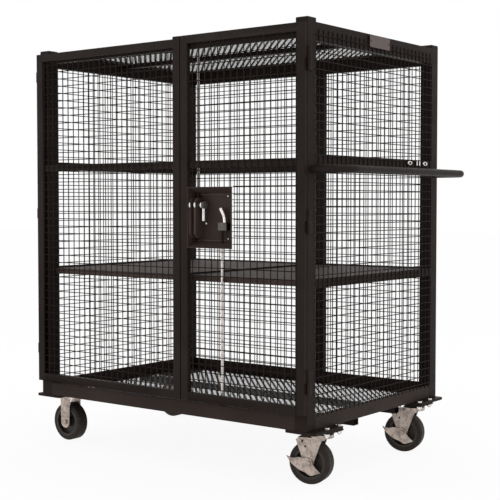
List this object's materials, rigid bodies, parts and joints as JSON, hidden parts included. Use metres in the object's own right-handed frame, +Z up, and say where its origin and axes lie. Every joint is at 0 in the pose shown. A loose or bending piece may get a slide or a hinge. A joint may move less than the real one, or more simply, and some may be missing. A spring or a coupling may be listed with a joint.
{
  "type": "wire cage storage cart",
  "caption": "Security cart with a welded wire mesh cage, unequal double doors, a lock pan, a shelf, a push handle and rigid and braked swivel casters.",
  "frame": {"origin": "on the floor, under the middle of the whole cart's box", "axes": "+Z up, +X towards the push handle, -Y towards the doors"},
  "size_m": [1.502, 0.9404, 1.6],
  "materials": {
    "frame_coat": "satin powder coat, near-black brown",
    "door_coat": "satin powder coat, near-black brown",
    "shelf_coat": "satin powder coat, brown-grey",
    "cap_plastic": "matte black",
    "zinc": "zinc plated, satin",
    "bright_steel": "polished",
    "cast_alloy": "as cast",
    "tyre_rubber": "matte black",
    "wheel_core": "matte black"
  },
  "bodies": {
    "frame": {"base_rails": "frame_coat", "floor_stringers": "frame_coat", "floor_deck": "frame_coat", "roof_deck": "frame_coat", "posts": "frame_coat", "post_caps": "cap_plastic", "back_post": "frame_coat", "top_rails": "frame_coat", "upper_rails": "frame_coat", "lower_rails": "frame_coat", "roof_rib": "frame_coat", "left_mesh": "frame_coat", "right_mesh": "frame_coat", "back_mesh": "frame_coat", "push_handle": "frame_coat", "shelf_beams": "frame_coat", "shelf_left": "shelf_coat", "shelf_right": "shelf_coat", "post_hinges": "frame_coat", "hinge_pins": "zinc", "rod_keeper": "frame_coat", "caster_pads": "frame_coat", "caster_plates": "frame_coat", "kingpins": "zinc", "rigid_forks": "zinc", "rigid_axles": "zinc"},
    "left_door": {"left_door_frame": "door_coat", "left_door_mid_rail": "door_coat", "left_door_mesh": "door_coat", "left_door_hinges": "door_coat"},
    "right_door": {"right_door_frame": "door_coat", "right_door_mid_rail": "door_coat", "right_door_mesh": "door_coat", "right_door_hinges": "door_coat", "lock_pan": "door_coat", "bolt_guides": "door_coat", "rod_guides": "door_coat"},
    "slide_bolt": {"slide_bolt": "bright_steel"},
    "drop_rod": {"drop_rod": "zinc", "rod_collar": "cast_alloy"},
    "top_rod": {"top_rod": "zinc"},
    "front_left_wheel": {"front_left_tyre": "tyre_rubber", "front_left_core": "wheel_core"},
    "front_right_wheel": {"front_right_tyre": "tyre_rubber", "front_right_core": "wheel_core"},
    "front_right_swivel": {"front_right_fork": "zinc", "front_right_axle": "zinc"},
    "front_right_pedal": {"front_right_brake": "zinc"},
    "rear_left_wheel": {"rear_left_tyre": "tyre_rubber", "rear_left_core": "wheel_core"},
    "rear_right_wheel": {"rear_right_tyre": "tyre_rubber", "rear_right_core": "wheel_core"},
    "rear_right_swivel": {"rear_right_fork": "zinc", "rear_right_axle": "zinc"},
    "rear_right_pedal": {"rear_right_brake": "zinc"}
  },
  "joints": [
    {"name": "left_door_swing", "type": "hinge", "parent": "frame", "child": "left_door", "pos_m": [-0.708, -0.4512, 0.9165], "axis": [0, 0, -1], "range_deg": [0, 180]},
    {"name": "right_door_swing", "type": "hinge", "parent": "frame", "child": "right_door", "pos_m": [0.606, -0.4512, 0.9165], "axis": [0, 0, 1], "range_deg": [0, 130]},
    {"name": "bolt_slide", "type": "slide", "parent": "right_door", "child": "slide_bolt", "axis": [-1, 0, 0], "range_m": [0, 0.014]},
    {"name": "rod_drop", "type": "slide", "parent": "right_door", "child": "drop_rod", "axis": [0, 0, -1], "range_m": [0, 0.025]},
    {"name": "top_rod_lift", "type": "slide", "parent": "right_door", "child": "top_rod", "axis": [0, 0, 1], "range_m": [0, 0.025]},
    {"name": "front_left_roll", "type": "hinge", "parent": "frame", "child": "front_left_wheel", "pos_m": [-0.675, -0.3202, 0.076], "axis": [0, 1, 0], "continuous": true},
    {"name": "front_right_turn", "type": "hinge", "parent": "frame", "child": "front_right_swivel", "pos_m": [0.573, -0.3202, 0.16], "axis": [0, 0, 1], "continuous": true},
    {"name": "front_right_roll", "type": "hinge", "parent": "front_right_swivel", "child": "front_right_wheel", "pos_m": [0.53597, -0.32875, 0.076], "axis": [0.225, -0.9744, 0], "continuous": true},
    {"name": "front_right_brake_press", "type": "hinge", "parent": "front_right_swivel", "child": "front_right_pedal", "pos_m": [0.53597, -0.32875, 0.076], "axis": [0.225, -0.9744, 0], "range_deg": [0, 18]},
    {"name": "rear_left_roll", "type": "hinge", "parent": "frame", "child": "rear_left_wheel", "pos_m": [-0.675, 0.3338, 0.076], "axis": [0, 1, 0], "continuous": true},
    {"name": "rear_right_turn", "type": "hinge", "parent": "frame", "child": "rear_right_swivel", "pos_m": [0.573, 0.3338, 0.16], "axis": [0, 0, 1], "continuous": true},
    {"name": "rear_right_roll", "type": "hinge", "parent": "rear_right_swivel", "child": "rear_right_wheel", "pos_m": [0.53597, 0.32525, 0.076], "axis": [0.225, -0.9744, 0], "continuous": true},
    {"name": "rear_right_brake_press", "type": "hinge", "parent": "rear_right_swivel", "child": "rear_right_pedal", "pos_m": [0.53597, 0.32525, 0.076], "axis": [0.225, -0.9744, 0], "range_deg": [0, 18]}
  ]
}
